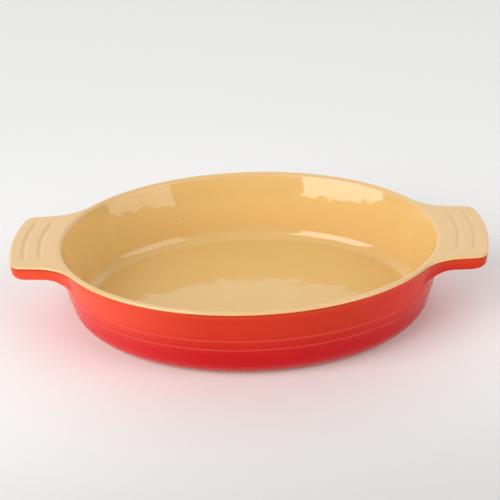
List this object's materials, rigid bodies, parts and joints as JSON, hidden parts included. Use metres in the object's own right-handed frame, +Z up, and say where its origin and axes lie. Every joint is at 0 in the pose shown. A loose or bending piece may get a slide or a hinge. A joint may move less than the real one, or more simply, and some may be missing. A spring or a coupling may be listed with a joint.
{
  "type": "baking dish",
  "caption": "Oval glazed stoneware baking dish with flared walls, a rounded rim, raised lines round the outside and grooved lug handles at its ends.",
  "frame": {"origin": "on the table plane under the middle of the dish, at the centre of the foot ring", "axes": "+X along the dish to the right lug, +Y across it to the back, +Z up"},
  "size_m": [0.343, 0.21, 0.061],
  "materials": {
    "bare_clay": "fired stoneware without glaze, matt and slightly rough",
    "cream_glaze": "glossy warm cream glaze with faint specks",
    "red_glaze": "glossy glaze, orange red below the rim and deepening to crimson at the foot"
  },
  "bodies": {
    "root": {"stoneware_bowl": "bare_clay", "left_lug": "bare_clay", "right_lug": "bare_clay", "foot_ring": "bare_clay", "inner_glaze": "cream_glaze", "outer_glaze": "red_glaze", "base_glaze": "red_glaze"}
  },
  "joints": []
}
